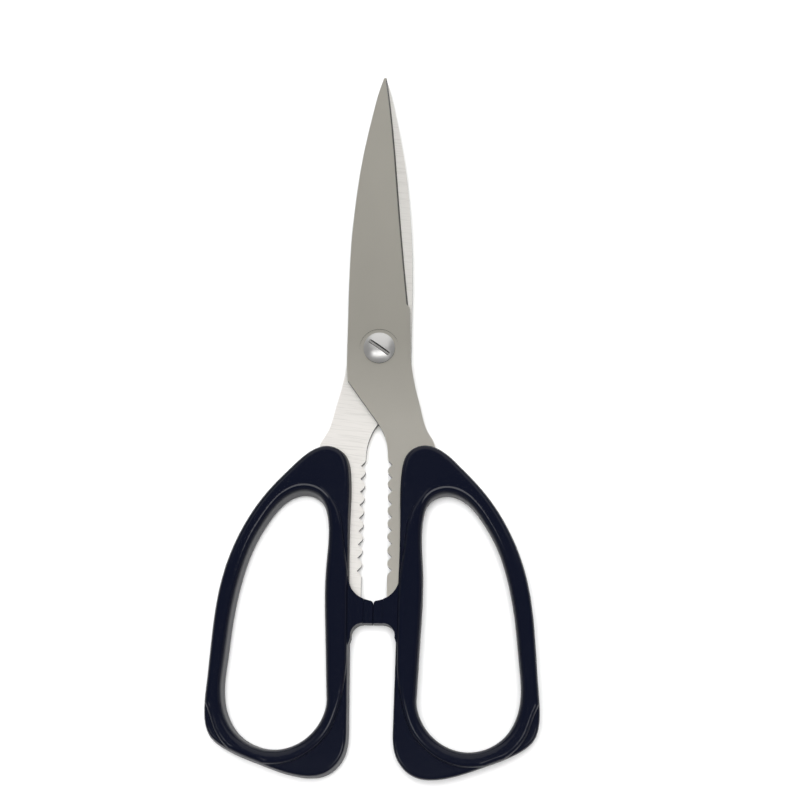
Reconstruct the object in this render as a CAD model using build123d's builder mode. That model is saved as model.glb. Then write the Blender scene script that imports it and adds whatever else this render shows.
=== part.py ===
from build123d import *
import os

# Kitchen shears, lying flat and closed. All sizes are in millimetres.
# X runs to the right, Y towards the points of the blades, Z up from the table.
# The front half, blade and right-hand handle, and the rear half are one pattern turned over about
# the long axis, so each shape is drawn once, in the front half's place.

# Overall sizes
tip_reach = 83.6  # pivot to the points of the blades
handle_reach = 121.8  # pivot to the lower end of the handles
overall_width = 92.4  # across both handles
handle_thickness = 9.0

# Blades
steel_thickness = 2.0
blade_gap = 0.1  # running clearance between the two inner faces
spine_width = 9.2  # axis to the spine
ricasso_width = 9.0  # axis to the blunt edge beside the pivot
edge_heel_width = 8.1  # axis to the lower end of the cutting edge
tip_width = 0.55  # half the width of the blunted point
heel_reach = 12.6  # pivot up to the lower end of the cutting edge
heel_step = 0.4
shoulder_reach = 9.8  # pivot down to the corner of the spine
shoulder_inset = 0.4
crotch_reach = 22.0  # pivot down to where the two halves part
bevel_width = 0.45
bevel_land = 0.15  # flat left under the bevel

# Shank, toothed jaw and tang
nose_reach = 28.8  # pivot down to the top of the handle
shank_width = 16.2  # axis to the shank's outer edge where it enters the handle
jaw_top_reach = 32.0
jaw_top_width = 3.2  # axis to the tips of the upper teeth
jaw_end_width = 3.7
tooth_count = 9
tooth_pitch = 3.76
tooth_depth = 1.3
tooth_lead = 2.3  # top of the jaw to the first notch
strip_reach = 77.4  # pivot down to the end of the toothed strip, inside the stop
tang_width = 11.2  # axis to the tang's outer side beside the finger hole
tang_bend_reach = 50.0
tail_inner_width = 7.9
tail_reach = 92.0
tail_rounding = 1.2
anchor_radius = 1.2
anchor_upper = (12.2, 37.5)  # out from the axis and down from the pivot
anchor_lower = (9.4, 72.0)

# Handle moulding
handle_inset = 6.1  # axis to the handle's inner edge at its lower end
ring_drop = 1.2  # how far the plate lies below the raised ring
parting_height = 3.2  # mould parting line below the outer face
outer_draft = 0.12  # how far the wall leans in above the parting line
inner_draft = 0.62  # and below it
rim_rounding = 1.3
plate_rounding = 0.8
ring_rounding = 1.1
hole_rounding = 2.0
ramp_start = 41.0  # pivot down to where the plate starts to sink below the nose
ramp_end = 58.0

# Stop lugs
stop_gap = 0.2  # between the two pads when the shears are closed
stop_top_reach = 72.5
stop_end_reach = 79.3
pad_width = 2.8  # axis to the step behind the pad
pad_drop = 0.7
pad_corner = 0.8
pad_slope = 0.5  # how far the pad's upper edge falls towards the axis
web_upper_reach = 66.4
web_lower_reach = 83.2
web_root = 1.0  # how far the web reaches into the handle's inner edge
web_overlap = 3.0

# Pivot
shoulder_radius = 2.6
neck_radius = 2.0
pivot_clearance = 0.05
head_radius = 4.5
head_rim = 0.35
head_rise = 1.1
dish_radius = 5.6
dish_depth = 0.2
slot_length = 7.2
slot_width = 1.1
slot_depth = 0.75
slot_angle = -35.0
washer_outer_radius = 4.1
washer_inner_radius = 2.3
washer_thickness = 0.3
washer_dishing = 0.15
nut_radius = 4.4
nut_flat_radius = 3.0
nut_round = 1.1  # height of the rounding round its lower face
neck_recess = 0.3  # end of the neck above the nut's lower face

overrun = 2.0  # how far a cutter passes the surface it cuts

# Outlines, as shares of the sizes that they follow. A cutting edge or spine point is
# (share of the width, share of the reach to the point), and a handle point is
# (share of the handle's width from its inner edge, share of its length from the top of its nose).
spine_shares = [(0.18, 0.951), (0.39, 0.852), (0.59, 0.742), (0.77, 0.614), (0.88, 0.5),
                (0.95, 0.403), (0.99, 0.287)]
edge_shares = [(0.24, 0.873), (0.42, 0.715), (0.58, 0.543), (0.815, 0.313)]
shank_shares = [(0.585, 0.198), (0.654, 0.403), (0.759, 0.628), (0.889, 0.861)]
tang_nose_shares = [(1.03, 0.072), (0.93, 0.43), (0.76, 0.78)]
tooth_rounding_share = 1.12  # radius of a tooth's tip, of the flat between two notches
handle_shares = [(0.0, 0.863), (0.005, 0.713), (0.016, 0.444), (0.022, 0.229), (0.026, 0.083),
                 (0.072, 0.023), (0.187, 0.0), (0.302, 0.015), (0.436, 0.064), (0.599, 0.138),
                 (0.723, 0.212), (0.85, 0.322), (0.925, 0.432), (0.968, 0.576), (0.993, 0.734),
                 (1.0, 0.82), (0.96, 0.88), (0.865, 0.914), (0.608, 0.961), (0.322, 0.996),
                 (0.147, 0.989), (0.03, 0.939)]
hole_shares = [(0.16, 0.763), (0.18, 0.583), (0.19, 0.389), (0.185, 0.228), (0.237, 0.17),
               (0.354, 0.15), (0.479, 0.17), (0.606, 0.234), (0.693, 0.302), (0.771, 0.401),
               (0.828, 0.53), (0.858, 0.659), (0.868, 0.763), (0.763, 0.87), (0.514, 0.916),
               (0.264, 0.87)]
ring_shares = [(0.02, 0.65), (0.018, 0.553), (0.027, 0.412), (0.06, 0.294), (0.095, 0.205), (0.17, 0.15),
               (0.35, 0.08), (0.7, 0.12), (1.0, 0.3), (1.12, 0.55), (1.06, 0.71), (0.955, 0.818),
               (0.912, 0.866), (0.813, 0.919), (0.686, 0.949), (0.527, 0.961), (0.388, 0.952),
               (0.262, 0.924), (0.15, 0.878), (0.077, 0.812), (0.037, 0.736)]

# Places worked out from the sizes above
pivot_y = (handle_reach - tip_reach) / 2
mid_z = handle_thickness / 2
jaw_end_reach = jaw_top_reach + tooth_lead + tooth_count * tooth_pitch
tooth_rounding = tooth_rounding_share * (tooth_pitch - 2 * tooth_depth)
inner_face = blade_gap / 2
outer_face = inner_face + steel_thickness
handle_width = overall_width / 2 - handle_inset
handle_length = handle_reach - nose_reach
ring_half = handle_thickness / 2
plate_half = ring_half - ring_drop
parting_z = ring_half - parting_height
wall_drafts = [(ring_half, outer_draft), (-ring_half, inner_draft)]  # height of a wall's end, and its lean
pad_half = plate_half - pad_drop
rear_face_z = mid_z - outer_face
nut_height = rear_face_z - washer_thickness - washer_dishing
head_bottom_z = mid_z + outer_face - dish_depth + pivot_clearance
head_top_z = head_bottom_z + head_rim + head_rise
centre_plane = Plane((0, pivot_y, mid_z))
pivot_axis = Axis((0, pivot_y, 0), (0, 0, 1))
turn_axis = Axis((0, pivot_y, mid_z), (0, 1, 0))


def handle_points(shares, inset):
    """Points of a handle outline, drawn in by the inset towards the middle of the handle."""
    wide, long = handle_width - 2 * inset, handle_length - 2 * inset
    left, top = handle_inset + inset, -nose_reach - inset
    return [(left + across * wide, top - down * long) for across, down in shares]


def jaw_x(drop):
    """How far from the axis the jaw's line of tips lies, at a drop below the top of the jaw."""
    return jaw_top_width + (jaw_end_width - jaw_top_width) * drop / (jaw_end_reach - jaw_top_reach)


def is_tooth_tip(corner):
    """True for a corner of the stamping on the line of tips, where a notch begins or ends."""
    drop = -jaw_top_reach - corner.Y
    last_drop = tooth_lead + (tooth_count - 0.5) * tooth_pitch
    return 0 < drop < last_drop and corner.X < jaw_x(drop) + tooth_depth / 2


def blade_outline():
    """One half's steel: blade, ricasso, shank, jaw strip and tang, in the pivot's frame."""
    spine = Spline(
        [(-tip_width, tip_reach - tip_width)]
        + [(-across * spine_width, up * tip_reach) for across, up in spine_shares]
        + [(-spine_width, heel_reach)]
    )
    back = Line(spine @ 1, (-spine_width, -shoulder_reach / 2))
    shoulder = Line(back @ 1, (-spine_width + shoulder_inset, -shoulder_reach))
    slant = Line(shoulder @ 1, (0, -crotch_reach))
    crotch = TangentArc([slant @ 1, (jaw_top_width, -jaw_top_reach)], tangent=slant % 1)
    jaw = Line(crotch @ 1, (jaw_end_width, -jaw_end_reach))
    strip = Line(jaw @ 1, (jaw_end_width, -strip_reach))
    strip_end = Line(strip @ 1, (tail_inner_width, -strip_reach))
    tail_inner = Line(strip_end @ 1, (tail_inner_width, -tail_reach))
    tail_end = Line(tail_inner @ 1, (tang_width, -tail_reach))
    tail_outer = Line(tail_end @ 1, (tang_width, -tang_bend_reach))
    bend_drop = tang_bend_reach - nose_reach
    tang = Spline(
        [tail_outer @ 1]
        + [(across * shank_width, -nose_reach - down * bend_drop) for across, down in reversed(tang_nose_shares)],
        tangents=[(0, 1), (0, 1)],
    )
    shank = Spline(
        [tang @ 1]
        + [(across * shank_width, -down * nose_reach) for across, down in reversed(shank_shares)]
        + [(ricasso_width, 0)],
        tangents=[(0, 1), (0, 1)],
    )
    ricasso = Line(shank @ 1, (edge_heel_width + heel_step, heel_reach - heel_step))
    heel = Line(ricasso @ 1, (edge_heel_width, heel_reach))
    edge = Spline(
        [heel @ 1]
        + [(across * edge_heel_width, up * tip_reach) for across, up in reversed(edge_shares)]
        + [(tip_width, tip_reach - tip_width)]
    )
    ThreePointArc(edge @ 1, (0, tip_reach), spine @ 0)


# Steel of one half: stamped, ground to a bevel along the cutting edge, toothed along the shank, with
# sharp notches and round tips
with BuildPart() as blade_blank:
    with BuildSketch(centre_plane.offset(inner_face)) as stamping:
        with BuildLine():
            blade_outline()
        make_face()
        fillet(stamping.vertices().group_by(Axis.Y)[0], tail_rounding)
        for tooth in range(tooth_count):
            drop = tooth_lead + tooth * tooth_pitch
            half_mouth = tooth_depth + overrun
            with BuildLine():
                Polyline(
                    (jaw_x(drop) - overrun, -jaw_top_reach - drop + half_mouth),
                    (jaw_x(drop) + tooth_depth, -jaw_top_reach - drop),
                    (jaw_x(drop) - overrun, -jaw_top_reach - drop - half_mouth),
                    close=True,
                )
            make_face(mode=Mode.SUBTRACT)
        fillet(stamping.vertices().filter_by(is_tooth_tip), tooth_rounding)
        for out, down in (anchor_upper, anchor_lower):
            with Locations((out, -down)):
                Circle(anchor_radius, mode=Mode.SUBTRACT)
    extrude(amount=steel_thickness)
    outer = blade_blank.faces().sort_by(Axis.Z)[-1]
    edge_middle = (edge_heel_width / 2, pivot_y + (tip_reach + heel_reach) / 2, mid_z + outer_face)
    cutting_edge = outer.edges().sort_by_distance(edge_middle)[0]
    chamfer(cutting_edge, bevel_width, steel_thickness - bevel_land, reference=outer)

# Front blade, on top: clearance hole for the screw's shoulder in a shallow dish
with BuildPart() as front_blade:
    add(blade_blank.part)
    with BuildSketch(centre_plane.offset(inner_face)):
        Circle(shoulder_radius + pivot_clearance)
    extrude(amount=steel_thickness, mode=Mode.SUBTRACT)
    with BuildSketch(centre_plane.offset(outer_face - dish_depth)):
        Circle(dish_radius)
    extrude(amount=dish_depth + overrun, mode=Mode.SUBTRACT)
front_blade.part.label = "front_blade"

# Rear blade: the same stamping turned over, with a plain hole that the screw's neck fills
with BuildPart() as rear_blade:
    add(blade_blank.part.rotate(turn_axis, 180))
    with BuildSketch(centre_plane.offset(-inner_face)):
        Circle(neck_radius)
    extrude(amount=-steel_thickness, mode=Mode.SUBTRACT)
rear_blade.part.label = "rear_blade"


def outline_at(height, shares, inset):
    """The sketch of a handle outline at a height above the middle of the handle, drawn in by the inset."""
    with BuildSketch(centre_plane.offset(height)) as outline:
        with BuildLine():
            Spline(handle_points(shares, inset), periodic=True)
        make_face()
    return outline.sketch


# Handle walls: widest at the mould's parting line, leaning in above and below it
with BuildPart() as handle_walls:
    for height, draft in wall_drafts:
        loft([outline_at(parting_z, handle_shares, 0), outline_at(height, handle_shares, draft)], ruled=True)

# The same walls cut down to the height of the plate, with its edges rounded
with BuildPart() as plate:
    add(handle_walls.part)
    with BuildSketch(centre_plane.offset(-plate_half)):
        with Locations((overall_width / 2, -handle_reach / 2)):
            Rectangle(2 * overall_width, 2 * handle_reach)
    extrude(amount=2 * plate_half, mode=Mode.INTERSECT)
    for face in (plate.faces().sort_by(Axis.Z)[0], plate.faces().sort_by(Axis.Z)[-1]):
        fillet(face.edges(), plate_rounding)

# Full height with rounded rims, kept only inside the ring's outline and at the nose, which ramps down
# to the plate
with BuildPart() as raised:
    add(handle_walls.part)
    for face in (raised.faces().sort_by(Axis.Z)[0], raised.faces().sort_by(Axis.Z)[-1]):
        fillet(face.edges(), rim_rounding)

with BuildPart() as ring_block:
    with BuildSketch(centre_plane.offset(-ring_half)):
        with BuildLine():
            Spline(handle_points(ring_shares, 0), periodic=True)
        make_face()
    extrude(amount=handle_thickness)
    for face in (ring_block.faces().sort_by(Axis.Z)[0], ring_block.faces().sort_by(Axis.Z)[-1]):
        fillet(face.edges(), ring_rounding)

with BuildPart() as nose_block:
    with BuildSketch(Plane.YZ.offset(-overrun)):
        with BuildLine():
            start, end, top = pivot_y - ramp_start, pivot_y - ramp_end, pivot_y
            Polyline(
                (end, mid_z - plate_half), (start, mid_z - ring_half), (top, mid_z - ring_half),
                (top, mid_z + ring_half), (start, mid_z + ring_half), (end, mid_z + plate_half),
                close=True,
            )
        make_face()
    extrude(amount=overall_width)

with BuildPart() as nose:
    add(raised.part)
    add(nose_block.part, mode=Mode.INTERSECT)

# A slab with the finger hole through it: the hole is narrowest at the parting line and has round lips
with BuildPart() as hole_slab:
    with BuildSketch(centre_plane.offset(-ring_half)):
        with Locations((overall_width / 2, -handle_reach / 2)):
            Rectangle(2 * overall_width, 2 * handle_reach)
    extrude(amount=handle_thickness)
    for height, draft in wall_drafts:
        loft(
            [outline_at(parting_z, hole_shares, 0), outline_at(height, hole_shares, -draft)],
            ruled=True,
            mode=Mode.SUBTRACT,
        )
    for face in (hole_slab.faces().sort_by(Axis.Z)[0], hole_slab.faces().sort_by(Axis.Z)[-1]):
        fillet(face.inner_wires()[0].edges(), hole_rounding)

# One handle: ring and nose on the plate, the finger hole through them, and the lug that stops the
# closing shears, a web with a lower pad at its end. The tang is moulded in.
with BuildPart() as handle_blank:
    add(raised.part)
    add(ring_block.part, mode=Mode.INTERSECT)
    add(nose.part)
    add(plate.part)
    add(hole_slab.part, mode=Mode.INTERSECT)
    with BuildSketch(centre_plane.offset(-plate_half)):
        with BuildLine():
            root_x = handle_inset + web_root
            upper = TangentArc([(root_x, -web_upper_reach), (pad_width, -stop_top_reach)], tangent=(0, -1))
            step = Line(upper @ 1, (pad_width, -stop_end_reach))
            lower = TangentArc([step @ 1, (handle_inset, -web_lower_reach)], tangent=(1, 0))
            blend = Line(lower @ 1, (root_x, -web_lower_reach - web_overlap))
            root_lower = Line(blend @ 1, (root_x + web_overlap, -web_lower_reach - web_overlap))
            root = Line(root_lower @ 1, (root_x + web_overlap, -web_upper_reach))
            Line(root @ 1, upper @ 0)
        make_face()
    extrude(amount=2 * plate_half)
    with BuildSketch(centre_plane.offset(-pad_half)):
        with BuildLine():
            pad_top_y = -stop_top_reach - pad_slope
            pad_top = Line((pad_width, -stop_top_reach), (stop_gap / 2 + pad_corner, pad_top_y))
            pad_round = TangentArc([pad_top @ 1, (stop_gap / 2, pad_top_y - pad_corner)], tangent=(-1, 0))
            pad_face = Line(pad_round @ 1, (stop_gap / 2, -stop_end_reach))
            pad_end = Line(pad_face @ 1, (pad_width, -stop_end_reach))
            Line(pad_end @ 1, pad_top @ 0)
        make_face()
    extrude(amount=2 * pad_half)
    add(blade_blank.part, mode=Mode.SUBTRACT)

with BuildPart() as right_handle:
    add(handle_blank.part)
right_handle.part.label = "right_handle"

with BuildPart() as left_handle:
    add(handle_blank.part.rotate(turn_axis, 180))
left_handle.part.label = "left_handle"

# Pivot screw: slotted domed head in the dish, shoulder through the front blade, neck through the rear
with BuildPart() as pivot_screw:
    with BuildSketch(Plane.XZ.offset(-pivot_y)):
        with BuildLine():
            under = Line((0, head_bottom_z), (head_radius, head_bottom_z))
            rim = Line(under @ 1, (head_radius, head_bottom_z + head_rim))
            crown = Vector(0, head_top_z)
            dome = TangentArc([crown, rim @ 1], tangent=(1, 0))
            Line(crown, under @ 0)
        make_face()
    revolve(axis=pivot_axis)
    with BuildSketch(Plane((0, pivot_y, mid_z - inner_face))):
        Circle(shoulder_radius)
    extrude(amount=head_bottom_z - mid_z + inner_face)
    with BuildSketch(Plane((0, pivot_y, neck_recess))):
        Circle(neck_radius)
    extrude(amount=mid_z - inner_face - neck_recess)
    with BuildSketch(Plane((0, pivot_y, head_top_z - slot_depth))):
        SlotOverall(slot_length, slot_width, rotation=slot_angle)
    extrude(amount=slot_depth + overrun, mode=Mode.SUBTRACT)
pivot_screw.part.label = "pivot_screw"

# Dished spring washer: its outer edge bears on the rear blade, its inner edge on the nut
with BuildPart() as spring_washer:
    with BuildSketch(Plane.XZ.offset(-pivot_y)):
        with BuildLine():
            Polyline(
                (washer_inner_radius, nut_height),
                (washer_outer_radius, rear_face_z - washer_thickness),
                (washer_outer_radius, rear_face_z),
                (washer_inner_radius, nut_height + washer_thickness),
                close=True,
            )
        make_face()
    revolve(axis=pivot_axis)
spring_washer.part.label = "spring_washer"

# Round nut on the neck, rounded below, where the shears rest on it
with BuildPart() as pivot_nut:
    with BuildSketch(Plane.XZ.offset(-pivot_y)):
        with BuildLine():
            flat = Line((neck_radius, 0), (nut_flat_radius, 0))
            round_off = TangentArc([flat @ 1, (nut_radius, nut_round)], tangent=(1, 0))
            side = Line(round_off @ 1, (nut_radius, nut_height))
            seat = Line(side @ 1, (neck_radius, nut_height))
            Line(seat @ 1, flat @ 0)
        make_face()
    revolve(axis=pivot_axis)
pivot_nut.part.label = "pivot_nut"

pieces = [front_blade, rear_blade, right_handle, left_handle, pivot_screw, spring_washer, pivot_nut]
os.makedirs("parts", exist_ok=True)
for piece in pieces:
    export_step(piece.part, f"parts/{piece.part.label}.step")
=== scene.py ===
import math

import bmesh
import bpy
from mathutils import Matrix, Vector


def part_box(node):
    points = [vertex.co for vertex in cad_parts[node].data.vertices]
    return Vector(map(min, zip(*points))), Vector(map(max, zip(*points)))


# Kitchen shears, lying closed on a white table. Everything is in metres, in the frame of the parts:
# X to the right across the handles, Y along the blades to their points, Z up from the table.
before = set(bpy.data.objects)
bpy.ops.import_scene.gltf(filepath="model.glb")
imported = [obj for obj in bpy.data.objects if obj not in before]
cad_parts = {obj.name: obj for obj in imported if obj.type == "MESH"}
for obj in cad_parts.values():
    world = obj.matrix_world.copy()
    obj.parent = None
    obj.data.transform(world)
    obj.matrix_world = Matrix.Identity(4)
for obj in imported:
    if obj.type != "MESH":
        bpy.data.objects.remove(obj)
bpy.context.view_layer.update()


# Camera. It looks down on the shears from nearly overhead, a little from the right of the handles,
# and is turned slightly so that the points lean to the right.
camera_target = Vector((0.0062, 0.0042, 0.0045))
camera_distance = 0.5206
camera_azimuth = math.radians(10.2)
camera_elevation = math.radians(76.05)
camera_roll = math.radians(1.15)

camera = bpy.data.objects.new("camera", bpy.data.cameras.new("camera"))
camera.data.lens = 81.7
camera.data.clip_start = 0.01
back = Vector((
    math.sin(camera_azimuth) * math.cos(camera_elevation),
    -math.cos(camera_azimuth) * math.cos(camera_elevation),
    math.sin(camera_elevation),
))
across = Vector((0, 1, 0)).cross(back).normalized()
upright = back.cross(across)
right = across * math.cos(camera_roll) + upright * math.sin(camera_roll)
up = upright * math.cos(camera_roll) - across * math.sin(camera_roll)
turn = Matrix((right, up, back)).transposed().to_4x4()
camera.matrix_world = Matrix.Translation(camera_target + back * camera_distance) @ turn
bpy.context.scene.collection.objects.link(camera)
bpy.context.scene.camera = camera
bpy.context.scene.view_settings.view_transform = "Standard"


# Table. A plain white sheet, wide enough to fill every view, lit so that it stays white between the
# handles. It isn't part of the shears.
table_size = 3.0
table_mesh = bmesh.new()
bmesh.ops.create_grid(table_mesh, x_segments=4, y_segments=4, size=table_size)
table = bpy.data.objects.new("table", bpy.data.meshes.new("table"))
table_mesh.to_mesh(table.data)
table_mesh.free()
bpy.context.scene.collection.objects.link(table)
table_finish = bpy.data.materials.new("white_table")
table_finish.use_nodes = True
shader = table_finish.node_tree.nodes["Principled BSDF"]
shader.inputs["Base Color"].default_value = (0.93, 0.93, 0.93, 1)
shader.inputs["Roughness"].default_value = 0.6
shader.inputs["Specular IOR Level"].default_value = 0.1
table.data.materials.append(table_finish)


# Light. A strip lamp overhead, a little in front of the shears, is what the steel and the plastic mirror
# as highlights. A panel behind gives the blades their grey, and a ceiling lamp that no polished surface
# mirrors lights the table. The room is dark overhead, grey at the sides and pale at the horizon.
def add_lamp(name, azimuth, elevation, distance, size, power):
    """A soft lamp, its size across and along, that shines at the shears from that direction."""
    lamp = bpy.data.objects.new(name, bpy.data.lights.new(name, "AREA"))
    lamp.data.shape = "RECTANGLE"
    lamp.data.size, lamp.data.size_y = size
    lamp.data.energy = power
    a, e = math.radians(azimuth), math.radians(elevation)
    direction = Vector((math.sin(a) * math.cos(e), -math.cos(a) * math.cos(e), math.sin(e)))
    lamp.location = direction * distance
    lamp.rotation_mode = "QUATERNION"
    lamp.rotation_quaternion = direction.to_track_quat("Z", "Y")
    bpy.context.scene.collection.objects.link(lamp)
    return lamp


def add_node(tree, kind, **inputs):
    """A node of that kind, with its inputs set by name."""
    node = tree.nodes.new(kind)
    for name, value in inputs.items():
        node.inputs[name.replace("_", " ")].default_value = value
    return node


def coordinate(tree, kind, axis):
    """One axis of the coordinates of that kind, which is Generated, Object or Normal."""
    source = add_node(tree, "ShaderNodeTexCoord")
    split = add_node(tree, "ShaderNodeSeparateXYZ")
    tree.links.new(source.outputs[kind], split.inputs["Vector"])
    return split.outputs[axis]


def ramp(tree, value, stops):
    """A ramp of greys over a value. Stops are (position, grey)."""
    node = add_node(tree, "ShaderNodeValToRGB")
    elements = node.color_ramp.elements
    while len(elements) < len(stops):
        elements.new(0.5)
    for element, (position, grey) in zip(elements, stops):
        element.position = position
        element.color = (grey, grey, grey, 1)
    tree.links.new(value, node.inputs["Fac"])
    return node.outputs["Color"]


add_lamp("strip_lamp", 0, 82, 3.0, (3.0, 0.6), 12.0)
add_lamp("back_panel", 180, 45, 1.4, (1.7, 1.7), 4.3)
ceiling_lamp = add_lamp("ceiling_lamp", 0, 89, 1.5, (0.9, 0.9), 28.5)
ceiling_lamp.visible_glossy = False

room = bpy.data.worlds.new("room")
room.use_nodes = True
bpy.context.scene.world = room
tree = room.node_tree
height = coordinate(tree, "Generated", "Z")
shade = ramp(tree, height, [(0.0, 0.6), (0.03, 0.5), (0.06, 0.16), (0.5, 0.16), (0.7, 0.04), (1.0, 0.04)])
tree.links.new(shade, tree.nodes["Background"].inputs["Color"])


# Blades. Two stampings of 2 mm stainless steel. The outer faces are brushed lengthwise to a grey satin,
# the inner faces are ground across and look almost white, and both carry a painted sheen that makes them
# lighter towards the handles. The sheared edges carry painted shade, near black.
def new_material(name):
    """A new material with its node tree and its principled shader."""
    material = bpy.data.materials.new(name)
    material.use_nodes = True
    return material, material.node_tree, material.node_tree.nodes["Principled BSDF"]


def stretched_noise(tree, scales, detail, turn=0.0):
    """Noise in the piece's own coordinates, stretched by its scales and turned about Z."""
    place = add_node(tree, "ShaderNodeTexCoord")
    lengths = [1 / scale for scale in scales]
    stretch = add_node(tree, "ShaderNodeMapping", Scale=lengths, Rotation=(0, 0, turn))
    stretch.vector_type = "TEXTURE"
    noise = add_node(tree, "ShaderNodeTexNoise", Scale=1.0, Detail=detail)
    tree.links.new(place.outputs["Object"], stretch.inputs["Vector"])
    tree.links.new(stretch.outputs["Vector"], noise.inputs["Vector"])
    return noise.outputs["Fac"]


def fill(tree, sockets, values):
    """Links each socket to its value where that is an output, and else sets the socket to it."""
    for socket, value in zip(sockets, values):
        if isinstance(value, bpy.types.NodeSocket):
            tree.links.new(value, socket)
        else:
            socket.default_value = value


def mix(tree, factor, a, b):
    """Colour a where the factor is 0 and colour b where it is 1."""
    node = add_node(tree, "ShaderNodeMix")
    node.data_type = "RGBA"
    fill(tree, (node.inputs["Factor"], node.inputs["A"], node.inputs["B"]), (factor, a, b))
    return node.outputs["Result"]


def math_node(tree, operation, a, b=0.0):
    """The result of one calculation on two values."""
    node = add_node(tree, "ShaderNodeMath")
    node.operation = operation
    fill(tree, node.inputs, (a, b))
    return node.outputs[0]


def add_bump(tree, shader, height, strength, distance):
    """Gives the shader a relief of that height."""
    bump = add_node(tree, "ShaderNodeBump", Strength=strength, Distance=distance)
    tree.links.new(height, bump.inputs["Height"])
    tree.links.new(bump.outputs["Normal"], shader.inputs["Normal"])


def blade_finish(name, outward):
    """Steel of one blade. Outward is +1 where the outer face looks up, and -1 where it looks down."""
    satin_grey = (0.75, 0.72, 0.638, 1)
    satin_pale = (0.79, 0.76, 0.673, 1)
    # Painted sheen: the satin is painted paler towards the handles.
    satin_painted_sheen = (1.0, 0.96, 0.86, 1)
    ground_white = (0.86, 0.84, 0.80, 1)
    # Painted sheen: the ground face is painted paler towards the handles.
    ground_painted_sheen = (0.94, 0.91, 0.87, 1)
    ground_streak = (0.70, 0.68, 0.64, 1)
    # Painted shade: the sheared edges are painted near black.
    painted_edge_shade = (0.03, 0.03, 0.029, 1)
    all_metal = (1, 1, 1, 1)
    least_flat_z = 0.5
    # Where the painted sheen begins and where it is full, along Y.
    painted_sheen_start_y = 0.022
    painted_sheen_full_y = -0.004
    streak_slope = math.radians(-7)

    material, tree, shader = new_material(name)
    facing = coordinate(tree, "Normal", "Z")
    outer = math_node(tree, "GREATER_THAN", math_node(tree, "MULTIPLY", facing, outward), least_flat_z)
    # Faces that look up or down. The rest are the sheared edges, which get painted shade and no metal.
    flat = math_node(tree, "GREATER_THAN", math_node(tree, "ABSOLUTE", facing), least_flat_z)
    # Painted sheen: a mask that rises from 0 to 1 towards the handles, along Y.
    painted_sheen = add_node(tree, "ShaderNodeMapRange", From_Min=painted_sheen_start_y, From_Max=painted_sheen_full_y)
    tree.links.new(coordinate(tree, "Object", "Y"), painted_sheen.inputs["Value"])
    painted_sheen = painted_sheen.outputs["Result"]

    brushing = stretched_noise(tree, (4000, 40, 1), 3)
    patches = stretched_noise(tree, (60, 25, 1), 2)
    satin = mix(tree, ramp(tree, patches, [(0.3, 0.0), (0.7, 1.0)]), satin_grey, satin_pale)
    # The satin takes the painted sheen near the handles.
    satin = mix(tree, painted_sheen, satin, satin_painted_sheen)

    grinding = stretched_noise(tree, (90, 2600, 1), 4, turn=streak_slope)
    streaks = ramp(tree, grinding, [(0.36, 0.55), (0.48, 0.95), (0.7, 1.0)])
    # The ground face takes the painted sheen near the handles.
    ground = mix(tree, painted_sheen, ground_white, ground_painted_sheen)
    ground = mix(tree, streaks, ground_streak, ground)

    # The sheared edges get the painted shade, and the faces get their steel.
    colour = mix(tree, flat, painted_edge_shade, mix(tree, outer, ground, satin))
    tree.links.new(colour, shader.inputs["Base Color"])
    # The painted sheen also makes the ground faces a little less metal, so that they look paler.
    metal = mix(tree, outer, ramp(tree, painted_sheen, [(0.0, 0.65), (1.0, 0.57)]), all_metal)
    tree.links.new(math_node(tree, "MULTIPLY", metal, flat), shader.inputs["Metallic"])
    tree.links.new(ramp(tree, outer, [(0.0, 0.5), (1.0, 0.36)]), shader.inputs["Roughness"])
    add_bump(tree, shader, mix(tree, outer, grinding, brushing), 0.25, 0.00001)
    return material


def finish_node(name, material):
    """Gives a part its material in place of the plain one that it came with."""
    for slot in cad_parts[name].material_slots:
        slot.material = material


finish_node("front_blade", blade_finish("front_blade_steel", 1.0))
finish_node("rear_blade", blade_finish("rear_blade_steel", -1.0))


# Handles. Two mouldings of glossy plastic, so dark a navy that it looks black, on the blades' tangs.
# Their walls are duller than the faces that look up or down, and the skin is faintly uneven.
plastic, tree, shader = new_material("navy_plastic")
shader.inputs["Base Color"].default_value = (0.0032, 0.0044, 0.0115, 1)
shader.inputs["IOR"].default_value = 1.49
shader.inputs["Specular IOR Level"].default_value = 0.5
level = math_node(tree, "ABSOLUTE", coordinate(tree, "Normal", "Z"))
rough = ramp(tree, level, [(0.0, 0.55), (0.2, 0.5), (0.7, 0.4), (0.82, 0.1)])
tree.links.new(rough, shader.inputs["Roughness"])
add_bump(tree, shader, stretched_noise(tree, (260, 260, 260), 2), 0.12, 0.0002)
for handle in ("right_handle", "left_handle"):
    finish_node(handle, plastic)
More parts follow.
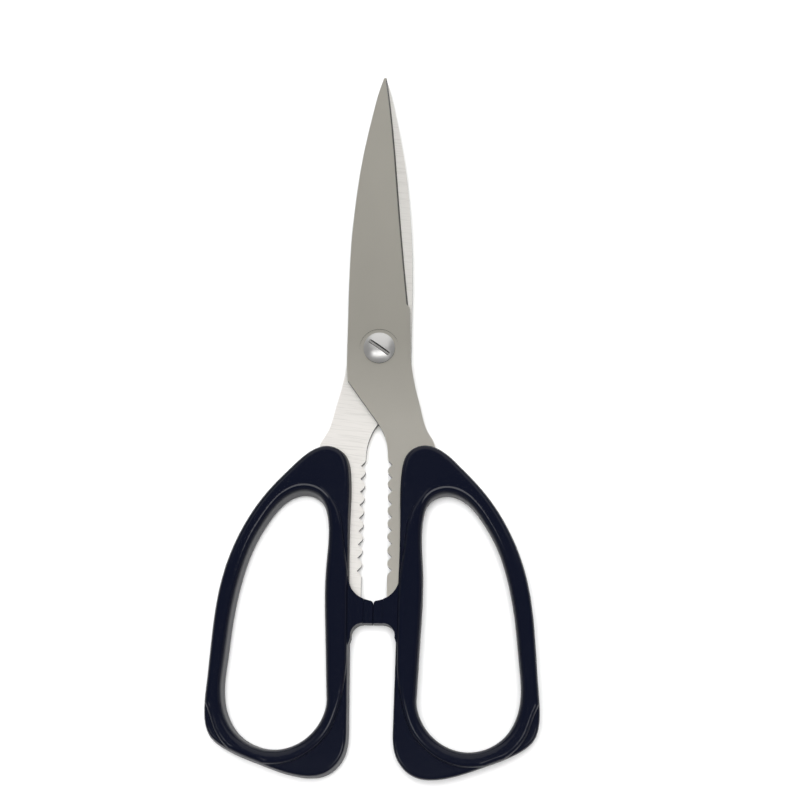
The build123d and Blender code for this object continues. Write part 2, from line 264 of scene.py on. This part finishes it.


# Pivot. A polished slotted screw through both blades, a dished spring washer and a round nut below.
# The screw has painted shade: near black on its steep walls, on the rim of its dome and in the corners of
# its slot, and a darker grey on the slot's floor.
def polished_finish(name, colour, roughness, metallic=1.0):
    """Turned and polished steel."""
    material, tree, shader = new_material(name)
    shader.inputs["Base Color"].default_value = colour
    shader.inputs["Metallic"].default_value = metallic
    shader.inputs["Roughness"].default_value = roughness
    return material


bright_steel = (0.97, 0.96, 0.94, 1)
# Painted shade on the slot's floor, a darker grey.
painted_floor_shade = (0.55, 0.54, 0.52, 1)
# Painted shade, near black, for the steep walls, the dome's rim and the slot's corners.
painted_shade = (0.02, 0.02, 0.02, 1)
pivot_y = 0.0191
slot_angle = math.radians(-35)
slot_depth = 0.00075
slot_floor_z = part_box("pivot_screw")[1][2] - slot_depth
floor_margin = 0.00005
# Half the width of the slot's floor that stays free of the near black painted shade.
unshaded_half_width = 0.00028
least_level_z = 0.99
# Faces steeper than this, which are the walls and the dome's rim, get painted shade.
least_shallow_z = 0.893

screw_steel = polished_finish("polished_screw", bright_steel, 0.3, metallic=0.88)
tree = screw_steel.node_tree
facing = coordinate(tree, "Normal", "Z")
level = math_node(tree, "GREATER_THAN", facing, least_level_z)
low = math_node(tree, "LESS_THAN", coordinate(tree, "Object", "Z"), slot_floor_z + floor_margin)
# The slot's floor, which gets painted shade.
floor = math_node(tree, "MULTIPLY", level, low)
# Steep walls and the dome's rim, which get near black painted shade.
steep = math_node(tree, "LESS_THAN", math_node(tree, "ABSOLUTE", facing), least_shallow_z)
from_x = math_node(tree, "MULTIPLY", coordinate(tree, "Object", "X"), -math.sin(slot_angle))
above_pivot = math_node(tree, "SUBTRACT", coordinate(tree, "Object", "Y"), pivot_y)
from_y = math_node(tree, "MULTIPLY", above_pivot, math.cos(slot_angle))
off_axis = math_node(tree, "ABSOLUTE", math_node(tree, "ADD", from_x, from_y))
# The slot's corners, which get near black painted shade.
corner = math_node(tree, "GREATER_THAN", off_axis, unshaded_half_width)
# Bright steel, with painted shade on the slot's floor and darker painted shade in its corners.
face = mix(tree, floor, bright_steel, mix(tree, corner, painted_floor_shade, painted_shade))
shader = tree.nodes["Principled BSDF"]
# Painted shade, near black, on the steep walls and the dome's rim.
tree.links.new(mix(tree, steep, face, painted_shade), shader.inputs["Base Color"])

finish_node("pivot_screw", screw_steel)
finish_node("pivot_nut", polished_finish("polished_nut", (0.8, 0.79, 0.77, 1), 0.25))
finish_node("spring_washer", polished_finish("washer_steel", (0.5, 0.49, 0.47, 1), 0.35))
